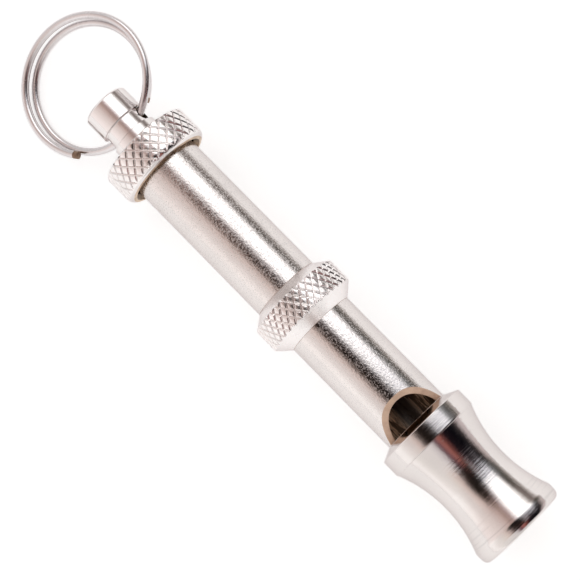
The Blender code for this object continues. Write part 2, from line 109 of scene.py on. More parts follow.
SKIRT_R = TUBE_R + 0.22
SKIRT_FLARE = 0.55
SKIRT_DEPTH = 1.9
CAP_EDGE_R = SKIRT_R + SKIRT_FLARE + 0.2
ROD_R = 1.5
SOCKET_R = ROD_R + 0.05
ROD_SOCKET = 2.4
BOSS_R = 3.44
NECK_R = 3.03
NECK_START = CAP_FACE + 1.95
NECK_END = CAP_END - 3.7
EYE_STATION = 0.5 * (NECK_START + NECK_END)
EYE_TILT = radians(20.0)
RING_DROP = radians(11.0)
WIRE_R = 0.55
RING_MEAN_R = 10.0 - WIRE_R
STRAND_GAP = 0.1
STRAND_PITCH = 2.0 * WIRE_R + STRAND_GAP
RING_SPLAY = 0.45
SPLAY_FROM, SPLAY_OVER = 18.0, 90.0
RING_SKEW = 1.0
RING_START = -52.0
END_CLEARANCE = 0.42
INNER_TURN_R = RING_MEAN_R - RING_SPLAY
RING_END = degrees(asin((BOSS_R + END_CLEARANCE) / (INNER_TURN_R - WIRE_R))) - 720.0
CROSSOVER = (RING_END + 357.0, RING_START - 360.0)
EYE_SAG = RING_MEAN_R - sqrt(RING_MEAN_R ** 2 - NECK_R ** 2)
EYE_DRIFT = STRAND_PITCH * degrees(asin(NECK_R / RING_MEAN_R)) / (CROSSOVER[0] - CROSSOVER[1])
EYE_CLEARANCE = 0.1
EYE_R = WIRE_R + hypot(0.5 * EYE_SAG, EYE_DRIFT) + EYE_CLEARANCE
PISTON_R = 3.12
PISTON_GROOVE_AT, PISTON_GROOVE, PISTON_GROOVE_DEPTH = 2.6, 1.5, 0.7
SEAL_INNER_R, SEAL_OUTER_R = 2.5, 3.17

# ---- fineness of the meshes ---------------------------------------------------------------
SIDES = 224
MOUTHPIECE_SIDES = 256
PISTON_SIDES = 128
ROD_SIDES = 96
CORNER_STEPS = 5
LIP_STEPS = 8
SWEEP_STEPS = 46
FLAT_ARC, FLAT_CHORD = 120, 24
WINDOW_SAMPLES = 320
THREAD_SIDES = 96
KNURL_FINE = 16             # points round one tooth, and rows along one
EYE_SIDES = 64
WIRE_STEPS, WIRE_SIDES = 420, 20
BARE_STEPS = 4              # lengths of wire left dull beside each cut
HOLD_NEAR = 0.14            # how far inside a long stretch its holding points lie
HOLD_LEAST = 0.7            # the shortest stretch that gets them
CREASE, FINE_CREASE = 28.0, 24.0


def at(station, y=0.0, z=0.0):
    """World point from a station and offsets from the whistle's axis, all in mm."""
    return Vector((MOUTH_X - station * MM, AXIS_Y + y * MM, AXIS_Z + z * MM))


# ---- nodes --------------------------------------------------------------------------------

class Graph:
    """Short calls for building a node material."""

    def __init__(self, name):
        self.mat = bpy.data.materials.new(name)
        self.mat.use_nodes = True
        self.tree = self.mat.node_tree
        self.shader = self.tree.nodes["Principled BSDF"]
        self.out = self.tree.nodes["Material Output"]
        self.coords = self.tree.nodes.new("ShaderNodeTexCoord").outputs["Object"]

    def node(self, kind, **settings):
        made = self.tree.nodes.new(kind)
        for key, value in settings.items():
            setattr(made, key, value)
        return made

    def link(self, source, target):
        self.tree.links.new(source, target)

    def feed(self, socket, value):
        """Give a socket a number, a colour or another node's output."""
        if value is None:
            return
        if isinstance(value, (int, float)):
            socket.default_value = value
        elif isinstance(value, tuple):
            socket.default_value = (*value, 1.0)
        else:
            self.link(value, socket)

    def mapped(self, scale):
        made = self.node("ShaderNodeMapping")
        made.inputs["Scale"].default_value = scale
        self.link(self.coords, made.inputs["Vector"])
        return made.outputs["Vector"]

    def noise(self, scale, detail, rough=0.5, vector=None, stretch=(1, 1, 1)):
        made = self.node("ShaderNodeTexNoise")
        made.inputs["Scale"].default_value = scale
        made.inputs["Detail"].default_value = detail
        made.inputs["Roughness"].default_value = rough
        self.link(vector or self.mapped(stretch), made.inputs["Vector"])
        return made.outputs["Fac"]

    def math(self, operation, a, b=None):
        made = self.node("ShaderNodeMath", operation=operation)
        self.feed(made.inputs[0], a)
        self.feed(made.inputs[1], b)
        return made.outputs[0]

    def ramp(self, source, stops):
        """Colours, or greys given as one number, at places from 0 to 1."""
        made = self.node("ShaderNodeValToRGB")
        elements = made.color_ramp.elements
        while len(elements) < len(stops):
            elements.new(0.5)
        for element, (place_at, colour) in zip(elements, stops):
            element.position = place_at
            rgb = colour if isinstance(colour, tuple) else (colour,) * 3
            element.color = (*rgb, 1.0)
        self.link(source, made.inputs["Fac"])
        return made.outputs["Color"]

    def fade(self, source, low, high, first=0.0, last=1.0):
        """A ramp that is first up to low and last from high on."""
        return self.ramp(source, [(0.0, first), (low, first), (high, last), (1.0, last)])

    def remap(self, source, low, high, new_low, new_high):
        made = self.node("ShaderNodeMapRange")
        made.inputs["From Min"].default_value = low
        made.inputs["From Max"].default_value = high
        made.inputs["To Min"].default_value = new_low
        made.inputs["To Max"].default_value = new_high
        self.link(source, made.inputs["Value"])
        return made.outputs["Result"]

    def mix(self, factor, a, b):
        made = self.node("ShaderNodeMix", data_type="RGBA")
        self.feed(made.inputs[0], factor)
        self.feed(made.inputs[6], a)
        self.feed(made.inputs[7], b)
        return made.outputs[2]

    def bump(self, height, strength, distance, normal=None):
        made = self.node("ShaderNodeBump")
        made.inputs["Strength"].default_value = strength
        made.inputs["Distance"].default_value = distance
        self.link(height, made.inputs["Height"])
        self.feed(made.inputs["Normal"], normal)
        return made.outputs["Normal"]

    def around(self):
        """Place along the whistle's axis and turn about it, as two values."""
        split = self.node("ShaderNodeSeparateXYZ")
        self.link(self.coords, split.inputs[0])
        y = self.math("SUBTRACT", split.outputs["Y"], AXIS_Y)
        z = self.math("SUBTRACT", split.outputs["Z"], AXIS_Z)
        return split.outputs["X"], self.math("ARCTAN2", y, z)

    def finish(self, colour, rough, normal=None, metallic=1.0):
        self.feed(self.shader.inputs["Metallic"], metallic)
        self.feed(self.shader.inputs["Base Color"], colour)
        self.feed(self.shader.inputs["Roughness"], rough)
        self.feed(self.shader.inputs["Normal"], normal)
        return self.mat


def turning_lines(g, x, turn, scale, detail, rough):
    """Noise that hardly changes round the axis, so that it reads as a lathe's lines."""
    line = g.node("ShaderNodeCombineXYZ")
    g.link(x, line.inputs["X"])
    g.link(g.math("MULTIPLY", turn, 120 * MICRON), line.inputs["Y"])
    return g.noise(scale, detail, rough, vector=line.outputs[0])


def nickel(name, rough, light=(0.74, 0.695, 0.675), speckle=1.0, turned=0.0,
           stretch=(1, 1, 1), stain_to=0.0, grain=0.0, hair=(1, 1, 1)):
    """Nickel plate over brass: fine orange peel, pits, scratches and turning lines.

    stain_to darkens the turning lines next to the lip; grain is the extra roughness of
    scattered dull spots, which hair stretches.
    """
    g = Graph(name)
    peel = g.noise(4300.0, 2.5, 0.6, stretch=stretch)
    broad = g.noise(1700.0, 2.0, stretch=stretch)
    pits = g.fade(g.noise(2600.0, 2.0), 0.27, 0.36)
    scratch = g.noise(620.0, 5.0, 0.75, stretch=(0.3, 3.0, 3.0))
    marks = g.ramp(scratch, [(0.0, 1.0), (0.33, 1.0), (0.36, 0.0), (0.39, 1.0), (1.0, 1.0)])
    height = g.math("ADD", peel, g.math("MULTIPLY", broad, 0.7))
    normal = g.bump(height, 0.8, 10 * MICRON * speckle)
    normal = g.bump(pits, 0.35, 8 * MICRON * speckle, normal)
    normal = g.bump(marks, 0.25, 6 * MICRON, normal)
    dark = tuple(c * 0.94 for c in light)
    colour = g.mix(g.fade(g.noise(140.0, 4.0, 0.6), 0.4, 0.7), light, dark)
    if turned:
        x, turn = g.around()
        fine = turning_lines(g, x, turn, 5200.0, 3.0, 0.6)
        wide = turning_lines(g, x, turn, 1500.0, 2.0, 0.5)
        normal = g.bump(g.math("ADD", fine, wide), 0.8, 12 * MICRON * turned, normal)
    if turned and stain_to:
        grooves = g.fade(turning_lines(g, x, turn, 4600.0, 2.0, 0.5), 0.36, 0.43, 1.0, 0.0)
        nearby = g.remap(x, MOUTH_X - 5.6 * MM, MOUTH_X - 2.6 * MM, 0.0, stain_to)
        colour = g.mix(g.math("MULTIPLY", grooves, nearby), colour, (0.16, 0.15, 0.15))
    roughness = g.remap(g.noise(420.0, 4.0, 0.65), 0.3, 0.7, rough * 0.8, rough * 1.25)
    if grain:
        grains = g.fade(g.noise(4600.0, 3.0, 0.65, stretch=hair), 0.5, 0.58)
        roughness = g.math("ADD", roughness, g.math("MULTIPLY", grains, grain))
    g.shader.inputs["Specular Tint"].default_value = (0.78, 0.75, 0.75, 1.0)
    return g.finish(colour, roughness, normal)


def brass(name, light=(0.70, 0.52, 0.36), dark=(0.42, 0.27, 0.16), rough=0.34, metallic=1.0):
    """Bare metal as left by the tool, darkened in patches."""
    g = Graph(name)
    colour = g.mix(g.fade(g.noise(700.0, 5.0, 0.65), 0.38, 0.68), light, dark)
    normal = g.bump(g.noise(3800.0, 3.0, 0.6), 0.5, 20 * MICRON)
    roughness = g.remap(g.noise(1800.0, 3.0, 0.6), 0.3, 0.7, rough * 0.75, rough * 1.3)
    return g.finish(colour, roughness, normal, metallic)


def bore_brass(name):
    """Inside of the barrel: nearly black with streaks of clean brass, and a painted shade that
    darkens its lowest side to almost black.
    """
    g = Graph(name)
    streaks = g.noise(800.0, 4.0, 0.6, stretch=(0.2, 1.0, 1.0))
    colour = g.ramp(streaks, [(0.0, (0.05, 0.03, 0.018)), (0.44, (0.12, 0.07, 0.04)),
                              (0.5, (0.75, 0.55, 0.4)), (1.0, (0.95, 0.8, 0.65))])
    turn = g.math("ABSOLUTE", g.around()[1])
    # Painted shade: the lowest side of the bore, deep inside the tube, is darkened nearly to
    # black.
    painted_bottom_shade = g.remap(turn, pi - 0.5, pi - 0.22, 0.0, 0.95)
    colour = g.mix(painted_bottom_shade, colour, (0.02, 0.012, 0.008))
    normal = g.bump(g.noise(2600.0, 3.0, 0.6, stretch=(0.2, 1.0, 1.0)), 0.7, 50 * MICRON)
    return g.finish(colour, g.remap(streaks, 0.3, 0.7, 0.45, 0.22), normal, 0.35)


def rubber(name):
    """Dull black rubber with a fine moulded texture."""
    g = Graph(name)
    colour = g.mix(g.noise(2500.0, 3.0), (0.02, 0.02, 0.021), (0.045, 0.044, 0.043))
    normal = g.bump(g.noise(6000.0, 3.0), 0.5, 30 * MICRON)
    return g.finish(colour, g.remap(g.noise(900.0, 3.0), 0.3, 0.7, 0.55, 0.75), normal, 0.0)


# ---- mesh tools ---------------------------------------------------------------------------

def loop_at(bm, station, radius, sides):
    """A loop of vertices; radius is a number or a function of the turn."""
    loop = []
    for i in range(sides):
        turn = 2.0 * pi * i / sides
        r = radius(turn) if callable(radius) else radius
        loop.append(bm.verts.new(at(station, r * sin(turn), r * cos(turn))))
    return loop


def bridge(bm, first, second, slot):
    """Faces between two closed loops; one may have a whole-number share of the other's verts."""
    n, m = len(first), len(second)
    if n == m:
        for i in range(n):
            j = (i + 1) % n
            bm.faces.new((first[i], first[j], second[j], second[i])).material_index = slot
        return
    if n < m:
        first, second, n, m = second, first, m, n
    step = n // m
    for i in range(m):
        j = (i + 1) % m
        for k in range(step):
            a = first[(i * step + k) % n]
            b = first[(i * step + k + 1) % n]
            tip = second[i] if k < (step + 1) // 2 else second[j]
            bm.faces.new((a, b, tip)).material_index = slot
        middle = first[(i * step + (step + 1) // 2) % n]
        bm.faces.new((second[i], middle, second[j])).material_index = slot


def bridge_all(bm, loops, slots=None):
    """Faces along a run of loops; slots gives each gap's material."""
    for k, (a, b) in enumerate(zip(loops, loops[1:])):
        bridge(bm, a, b, slots[k] if slots else 0)


def cap_loop(bm, loop, station, slot=0):
    """Close a loop with a fan about a point on the axis."""
    centre = bm.verts.new(at(station))
    for i in range(len(loop)):
        bm.faces.new((loop[i], loop[(i + 1) % len(loop)], centre)).material_index = slot


def rounded(points, radii):
    """Round each corner of an open run of (station, radius) points by its own radius."""
    out = [points[0]]
    for i in range(1, len(points) - 1):
        a, b, c = (Vector(p) for p in points[i - 1:i + 2])
        u, v = (a - b), (c - b)
        if radii[i] <= 0.0:
            out.append(points[i])
            continue
        half = 0.5 * u.angle(v)
        reach = min(radii[i] * cos(half) / sin(half), 0.45 * u.length, 0.45 * v.length)
        p, q = b + u.normalized() * reach, b + v.normalized() * reach
        for k in range(CORNER_STEPS + 1):
            t = k / CORNER_STEPS
            out.append(tuple((1 - t) ** 2 * p + 2 * t * (1 - t) * b + t ** 2 * q))
    out.append(points[-1])
    return out


def held(outline, closed):
    """The outline with extra points just inside the ends of its long straight stretches."""
    out = []
    count = len(outline)
    for i in range(count if closed else count - 1):
        (s0, r0), (s1, r1) = outline[i], outline[(i + 1) % count]
        out.append((s0, r0))
        length = hypot(s1 - s0, r1 - r0)
        if length > HOLD_LEAST and min(r0, r1) > 0.0:
            share = HOLD_NEAR / length
            for t in (share, 1.0 - share):
                out.append((s0 + (s1 - s0) * t, r0 + (r1 - r0) * t))
    if not closed:
        out.append(outline[-1])
    return out


def shade(mesh, crease):
    """Smooth shading, with edges sharper than crease, in degrees, left sharp."""
    mesh.shade_smooth()
    mesh.set_sharp_from_angle(angle=radians(crease))


def to_object(name, bm, mats, crease=CREASE):
    """A scene object from a finished bmesh."""
    bmesh.ops.remove_doubles(bm, verts=bm.verts, dist=1e-8)
    bmesh.ops.recalc_face_normals(bm, faces=bm.faces)
    mesh = bpy.data.meshes.new(name)
    bm.to_mesh(mesh)
    bm.free()
    for mat in mats:
        mesh.materials.append(mat)
    obj = bpy.data.objects.new(name, mesh)
    bpy.context.scene.collection.objects.link(obj)
    shade(mesh, crease)
    return obj


def lathe(name, outline, mats, sides, slots=None, crease=CREASE):
    """A turned piece from a closed (station, radius) outline; ends at r=0 close on the axis."""
    bm = bmesh.new()
    open_ends = outline[0][1] == 0.0
    ring = [(s, r) for s, r in held(outline, not open_ends) if r > 0.0]
    loops = [loop_at(bm, s, r, sides) for s, r in ring]
    pairs = list(zip(loops, loops[1:])) + ([] if open_ends else [(loops[-1], loops[0])])
    for k, (a, b) in enumerate(pairs):
        bridge(bm, a, b, slots(ring[k], ring[(k + 1) % len(ring)]) if slots else 0)
    if open_ends:
        cap_loop(bm, loops[0], ring[0][0])
        cap_loop(bm, loops[-1], ring[-1][0])
    return to_object(name, bm, mats, crease)


def place(obj, body, node):
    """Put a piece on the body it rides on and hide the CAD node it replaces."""
    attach(obj, body)
    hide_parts(node)


# ---- pieces -------------------------------------------------------------------------------

def sweep_radius(rise, reach):
    """Radius of a circle that rises this much over this reach from its lowest point."""
    return (reach * reach + rise * rise) / (2.0 * rise)


def make_mouthpiece(mats):
    """Flared mouthpiece: rounded lip, waist, long sweep up to the collar, and its bore."""
    land_end = LIP_WIDE_AT + LIP_LAND
    collar_sweep_r = sweep_radius(COLLAR_R - SWEEP_EDGE - WAIST_R, SWEEP_END - WAIST_AT)
    lip_sweep_r = sweep_radius(LIP_R - LIP_CROWN - WAIST_R, WAIST_AT - land_end)
    outer = [(0.0, PLUG_R + 0.12), (0.0, LIP_R - LIP_ROUND - 0.08)]
    for k in range(1, LIP_STEPS + 1):
        turn = 0.5 * pi * k / LIP_STEPS
        outer.append((LIP_WIDE_AT * (1.0 - cos(turn)), LIP_R - LIP_ROUND * (1.0 - sin(turn))))
    outer += [(LIP_WIDE_AT + along, LIP_R + share * LIP_CROWN)
              for along, share in ((0.28, 0.6), (0.52, 1.0), (0.76, 0.6))]
    for i in range(SWEEP_STEPS + 1):
        station = land_end + (SWEEP_END - land_end) * i / SWEEP_STEPS
        away = station - WAIST_AT
        bow_r = collar_sweep_r if away > 0.0 else lip_sweep_r
        outer.append((station, WAIST_R + bow_r - sqrt(bow_r ** 2 - away * away)))
    rear = [(SWEEP_END + 0.06, COLLAR_R - 0.02), (SWEEP_END + 0.12, COLLAR_R),
            (COLLAR_END - 0.06, COLLAR_R), (COLLAR_END, COLLAR_R - 0.03),
            (COLLAR_END + 0.05, COLLAR_R - 0.09), (MOUTHPIECE_END - 0.04, TUBE_R + 0.1),
            (MOUTHPIECE_END, TUBE_R + 0.06), (MOUTHPIECE_END, TUBE_R + 0.02)]
    seat = MOUTHPIECE_END - 1.2
    inner = [(seat, TUBE_R + 0.02), (seat, PLUG_R + 0.03), (0.08, PLUG_R + 0.03)]

    def slot_of(a, b):
        in_bore = min(a[1], b[1]) < PLUG_R + 0.1
        in_seat = a[0] > WAIST_AT and b[1] < TUBE_R + 0.05
        return 1 if in_bore or in_seat else 0

    outline = outer + rear + inner
    return lathe("mouthpiece_shell", outline, mats, MOUTHPIECE_SIDES, slot_of, crease=20.0)


def d_loop(bm, station, radius, flat):
    """A loop for a round bar with a flat on its upper side."""
    half = atan2(sqrt(max(radius * radius - flat * flat, 0.0)), flat)
    loop = []
    for i in range(FLAT_ARC + 1):
        turn = half + (2.0 * pi - 2.0 * half) * i / FLAT_ARC
        loop.append(bm.verts.new(at(station, radius * sin(turn), radius * cos(turn))))
    edge = radius * sin(half)
    for i in range(1, FLAT_CHORD):
        across = -edge + 2.0 * edge * i / FLAT_CHORD
        loop.append(bm.verts.new(at(station, across, flat)))
    return loop


def make_plug(mats):
    """Plug that fills the mouthpiece's bore but for the windway over its flat."""
    bm = bmesh.new()
    end = MOUTHPIECE_END - 0.02
    small, large = PLUG_R, TUBE_BORE_R - 0.05
    rows = [(PLUG_START, small - 0.1, WINDWAY_FLAT - 0.1),
            (PLUG_START + 0.03, small - 0.03, WINDWAY_FLAT - 0.03),
            (PLUG_START + 0.1, small, WINDWAY_FLAT),
            (PLUG_STEP, small, WINDWAY_FLAT),
            (PLUG_STEP, large, WINDWAY_FLAT),
            (end - 0.08, large, WINDWAY_EXIT),
            (end, large - 0.08, WINDWAY_EXIT - 0.06)]
    loops = [d_loop(bm, *row) for row in rows]
    bridge_all(bm, loops)
    bm.faces.new(loops[0])
    bm.faces.new(loops[-1])
    return to_object("windway_plug_body", bm, mats)


def window_loop(radius):
    """The barrel's mouth-side edge at one radius, as (turn, station) pairs.

    It runs along the slanting cut on top, then round behind it; the cut takes corner_share
    of the points.
    """
    corner_share = 0.3
    deep = (WINDOW_TIP - WINDOW_START) / WINDOW_SLOPE
    base = TUBE_R - deep
    corner = atan2(sqrt(radius * radius - base * base), base)
    loop = []
    for i in range(WINDOW_SAMPLES):
        u = 2.0 * i / WINDOW_SAMPLES
        u = u if u <= 1.0 else u - 2.0
        side = 1.0 if u >= 0.0 else -1.0
        u = abs(u)
        if u < corner_share:
            turn = corner * u / corner_share
        else:
            turn = corner + (pi - corner) * (u - corner_share) / (1.0 - corner_share)
        station = WINDOW_START
        if turn <= corner:
            cut = max(TUBE_R - radius * cos(turn), 0.0) / deep
            station = max(WINDOW_TIP - WINDOW_SLOPE * deep * cut ** WINDOW_ROUND, station)
        loop.append((turn * side, station))
    return loop


def make_barrel(mats):
    """Thin tube whose window edge is cut on a slant; the cut shows bare metal."""
    bm = bmesh.new()
    ease = 0.035
    end = BARREL_END + 0.07
    outer_edge, inner_edge = window_loop(TUBE_R), window_loop(TUBE_BORE_R)

    def ring(edge, radius, far, share, pull=0.0):
        loop = []
        for turn, near in edge:
            s = near + pull + (far - near - pull) * share
            loop.append(bm.verts.new(at(s, radius * sin(turn), radius * cos(turn))))
        return loop

    shares = [0.0, 0.01, 0.08, 0.3, 0.6, 0.98, 1.0]
    outer = [ring(outer_edge, TUBE_R, end - 0.03, s, ease) for s in shares]
    outer.append(ring(outer_edge, TUBE_R - 0.03, end, 1.0))
    inner = [ring(inner_edge, TUBE_BORE_R, end, s, ease) for s in reversed(shares)]
    lips = [ring(inner_edge, TUBE_BORE_R + ease, end, 0.0),
            ring(outer_edge, TUBE_R - ease, end, 0.0)]
    chain = outer + inner + lips
    slots = [0] * (len(outer) - 1) + [1] + [2] * (len(inner) - 1) + [1, 1, 1]
    bridge_all(bm, chain + chain[:1], slots)
    return to_object("lower_barrel_tube", bm, mats, crease=30.0)


def make_bush(mats):
    """Hollow bush with a right-hand thread, as one spiral strip between two plain ends."""
    bm = bmesh.new()
    n = THREAD_SIDES
    root = THREAD_MAJOR_R - THREAD_DEPTH
    form = [(0.0, root), (0.09, root), (0.41, THREAD_MAJOR_R), (0.59, THREAD_MAJOR_R),
            (0.91, root)]
    per = len(form)
    first_station = BARREL_END + 1.0
    count = THREAD_TURNS * per + 1
    grid = []
    for row in range(count):
        share, radius = form[row % per]
        line = []
        for i in range(n):
            turn = 2.0 * pi * i / n
            s = first_station + THREAD_PITCH * (row // per + share + i / n)
            line.append(bm.verts.new(at(s, radius * sin(turn), radius * cos(turn))))
        grid.append(line)
    for low, high in zip(grid, grid[1:]):
        for i in range(n - 1):
            bm.faces.new((low[i], low[i + 1], high[i + 1], high[i]))
    for row in range(count - 1 - per):
        bm.faces.new((grid[row][-1], grid[row + per][0], grid[row + per + 1][0],
                      grid[row + 1][-1]))
    front = loop_at(bm, first_station - 0.3, root, n)
    back = loop_at(bm, first_station + (THREAD_TURNS + 1.3) * THREAD_PITCH, root, n)
    for i in range(n - 1):
        bm.faces.new((front[i], front[i + 1], grid[0][i + 1], grid[0][i]))
        bm.faces.new((grid[-1][i], grid[-1][i + 1], back[i + 1], back[i]))
    bm.faces.new((front[-1], front[0], grid[0][0], grid[0][-1]))
    bm.faces.new([grid[0][-1]] + [grid[r][0] for r in range(per + 1)])
    bm.faces.new((back[0], back[-1], grid[-1][-1], grid[-1][0]))
    bm.faces.new([grid[-1][0]] + [grid[-1 - r][-1] for r in range(per + 1)])
    body = TUBE_BORE_R - 0.05
    outline = [(BUSH_END - 0.15, root), (BUSH_END, root - 0.15), (BUSH_END, BUSH_BORE_R + 0.1),
               (BUSH_END - 0.1, BUSH_BORE_R), (BUSH_START + 0.1, BUSH_BORE_R),
               (BUSH_START, BUSH_BORE_R + 0.1), (BUSH_START, body - 0.1),
               (BUSH_START + 0.1, body), (BARREL_END - 0.3, body),
               (BARREL_END - 0.2, body - 0.1), (BARREL_END - 0.2, root)]
    bridge_all(bm, [back] + [loop_at(bm, s, r, n) for s, r in outline] + [front])
    return to_object("thread_bush_body", bm, mats, FINE_CREASE)


def diamond(turn, station, start, teeth, period):
    """Depth below the tips of a diamond knurl: flat diamonds between two sets of V grooves."""
    u = turn * teeth / (2.0 * pi)
    v = (station - start) / period
    width = 2.0 * pi * COLLAR_R / teeth
    spacing = width * period / hypot(width, period)
    depth = 0.0
    for w in (u + v, u - v):
        off = abs((w + 0.5) % 1.0 - 0.5) * spacing
        crown = CROWN_DROP * (1.0 - 2.0 * off / spacing)
        depth = max(depth, crown, KNURL_DEPTH * (1.0 - off / GROOVE_HALF))
    return depth


def knurled_rows(bm, start, end, outline, teeth, period, slot=0):
    """Loops of a knurled surface from start to end; outline gives the blank's radius."""
    rows = int(ceil((end - start) / (period / KNURL_FINE)))
    loops = []
    for k in range(rows + 1):
        station = start + (end - start) * k / rows
        blank = outline(station)

        def radius(turn):
            return min(blank, COLLAR_R - diamond(turn, station, start, teeth, period))

        loops.append(loop_at(bm, station, radius, teeth * KNURL_FINE))
    bridge_all(bm, loops, [slot] * rows)
    return loops


def make_nut(mats):
    """Knurled lock nut with a cone down to the tube's radius at each end."""
    bm = bmesh.new()
    foot, head = NUT_START - 0.02, NUT_END + 0.02
    low_end = NUT_START + NUT_LOW_CONE
    top_start = NUT_END - NUT_TOP_CONE
    face = TUBE_R + 0.01
    bore = THREAD_MAJOR_R + 0.08
    sides = NUT_TEETH * KNURL_FINE

    def blank(station):
        if station < low_end:
            return COLLAR_R - (COLLAR_R - face) * (low_end - station) / (low_end - foot)
        if station > top_start:
            return COLLAR_R - (COLLAR_R - face) * (station - top_start) / (head - top_start)
        return COLLAR_R

    knurl = knurled_rows(bm, low_end - 0.26, top_start + 0.2, blank, NUT_TEETH, NUT_PERIOD)
    low = [(s, blank(s)) for s in (foot, NUT_START + 0.1,
                                   NUT_START + 0.55 * NUT_LOW_CONE, low_end - 0.38)]
    top = [(s, blank(s)) for s in (top_start + 0.32, NUT_END - 0.5 * NUT_TOP_CONE,
                                   NUT_END - 0.1, head)]
    inside = [(head, bore + 0.2), (NUT_END - 0.2, bore), (NUT_START + 0.2, bore),
              (foot, bore + 0.2)]
    plain = [loop_at(bm, s, r, sides) for s, r in top + inside + low]
    slots = [0] * len(top) + [1] * (len(inside) + 1) + [0] * len(low)
    bridge_all(bm, [knurl[-1]] + plain + [knurl[0]], slots)
    return to_object("lock_nut_body", bm, mats, FINE_CREASE)


def make_sleeve(mats):
    """Plain tube that slides over the thread, with softened ends."""
    s0, s1 = SLEEVE_START - 0.07, SLEEVE_END
    outline = [(s0, TUBE_BORE_R + 0.05), (s0, TUBE_R - 0.03), (s0 + 0.03, TUBE_R),
               (s0 + 6.0, TUBE_R), (s0 + 14.0, TUBE_R), (s1 - 0.1, TUBE_R),
               (s1, TUBE_R - 0.1), (s1, TUBE_BORE_R + 0.05), (s1 - 0.05, TUBE_BORE_R),
               (s0 + 0.05, TUBE_BORE_R)]

    def slot_of(a, b):
        return 1 if max(a[1], b[1]) < TUBE_R - 0.2 else 0

    return lathe("upper_sleeve_tube", outline, mats, SIDES, slot_of)


def cap_blank(station):
    """Radius of the end cap's collar before knurling, rounded over at its skirt."""
    t = (station - CAP_START) / CAP_ROUND
    if t >= 1.0:
        return COLLAR_R
    return CAP_EDGE_R + (COLLAR_R - CAP_EDGE_R) * sqrt(max(0.0, 1.0 - (1.0 - t) ** 2.0))


def cap_body(mats):
    """Knurled collar, boss, neck and knob turned from one bar, hollow under the skirt."""
    bm = bmesh.new()
    knurl_from = CAP_START + 0.3 * CAP_ROUND
    knurl = knurled_rows(bm, knurl_from, CAP_FACE - 0.2, cap_blank, CAP_TEETH, CAP_PERIOD, 3)
    many = CAP_TEETH * KNURL_FINE
    few = many // 2
    low = [(CAP_START + s * CAP_ROUND, cap_blank(CAP_START + s * CAP_ROUND))
           for s in (0.0, 0.05, 0.1, 0.16, 0.23)]
    inside = [(CAP_SEAT, SOCKET_R), (CAP_SEAT, TUBE_R + 0.02),
              (CAP_START + SKIRT_DEPTH, TUBE_R + 0.02), (CAP_START + SKIRT_DEPTH, SKIRT_R),
              (CAP_START + SKIRT_FLARE, SKIRT_R), (CAP_START, SKIRT_R + SKIRT_FLARE)]
    chain = [loop_at(bm, s, r, few) for s, r in inside]
    chain += [loop_at(bm, s, r, many) for s, r in low] + [knurl[0]]
    # Slot 1 is the skirt's bore, its seat and the rod's socket, in brass darkened as painted
    # shade; slot 2 is the worn brass rim.
    bridge_all(bm, chain, [1, 1, 1, 1, 1, 2, 2, 0, 0, 0, 0])
    deep = loop_at(bm, CAP_SEAT + ROD_SOCKET, SOCKET_R, few)
    bridge(bm, deep, chain[0], 1)
    cap_loop(bm, deep, CAP_SEAT + ROD_SOCKET, 1)

    outside = held([
        (CAP_FACE, COLLAR_R - 0.6), (CAP_FACE, BOSS_R + 0.05), (CAP_FACE + 0.05, BOSS_R),
        (NECK_START - 0.05, BOSS_R), (NECK_START, BOSS_R - 0.05),
        (NECK_START + 0.02, NECK_R + 0.1), (NECK_START + 0.12, NECK_R),
        (NECK_END - 0.12, NECK_R), (NECK_END - 0.02, NECK_R + 0.1),
        (NECK_END, BOSS_R - 0.04), (NECK_END + 0.04, BOSS_R), (CAP_END - 0.3, BOSS_R),
        (CAP_END - 0.26, BOSS_R - 0.02), (CAP_END - 0.03, BOSS_R - 0.25),
        (CAP_END, BOSS_R - 0.3), (CAP_END, 2.0), (CAP_END, 0.8)], False)
    loops = [loop_at(bm, s, r, few) for s, r in outside]
    edges = []
    for drop, inset in ((0.1, 0.08), (0.03, 0.22), (0.0, 0.4)):
        station = CAP_FACE - drop

        def radius(turn):
            groove = diamond(turn, station, knurl_from, CAP_TEETH, CAP_PERIOD)
            return min(COLLAR_R - inset, COLLAR_R - 0.6 * inset - groove)

        edges.append(loop_at(bm, station, radius, many))
    bridge_all(bm, [knurl[-1]] + edges + loops)
    cap_loop(bm, loops[-1], CAP_END)
    return to_object("end_cap_body", bm, mats, FINE_CREASE)


def eye_drill(mat):
    """Bar across the neck in the shape of the eye, a little wider at its two mouths."""
    bm = bmesh.new()
    axis = Vector((0.0, cos(EYE_TILT), sin(EYE_TILT)))
    side = Vector((1.0, 0.0, 0.0))
    up = axis.cross(side)
    mouth, clear = NECK_R + 0.05, 2.2 * NECK_R
    edge, wide = NECK_R - 0.12, EYE_R + 0.06
    rings = []
    for along, r in ((-clear, EYE_R), (-mouth, wide), (-edge, EYE_R),
                     (edge, EYE_R), (mouth, wide), (clear, EYE_R)):
        ring = []
        for i in range(EYE_SIDES):
            t = 2.0 * pi * i / EYE_SIDES
            offset = along * axis + r * (cos(t) * side + sin(t) * up)
            ring.append(bm.verts.new(at(EYE_STATION) + offset * MM))
        rings.append(ring)
    bridge_all(bm, rings)
    bm.faces.new(rings[0])
    bm.faces.new(rings[-1])
    return to_object("eye_drill", bm, [mat])


def make_cap(mats):
    """End cap with the ring's eye drilled across its neck."""
    cap = cap_body(mats)
    tool = eye_drill(mats[1])
    boolean = cap.modifiers.new("eye", "BOOLEAN")
    boolean.operation = "DIFFERENCE"
    boolean.solver = "EXACT"
    boolean.object = tool
    bpy.context.view_layer.update()
    drilled = cap.evaluated_get(bpy.context.evaluated_depsgraph_get())
    made = bpy.data.meshes.new_from_object(drilled)
    cap.modifiers.clear()
    cap.data = made
    bpy.data.objects.remove(tool, do_unlink=True)
    shade(made, FINE_CREASE)
    return cap


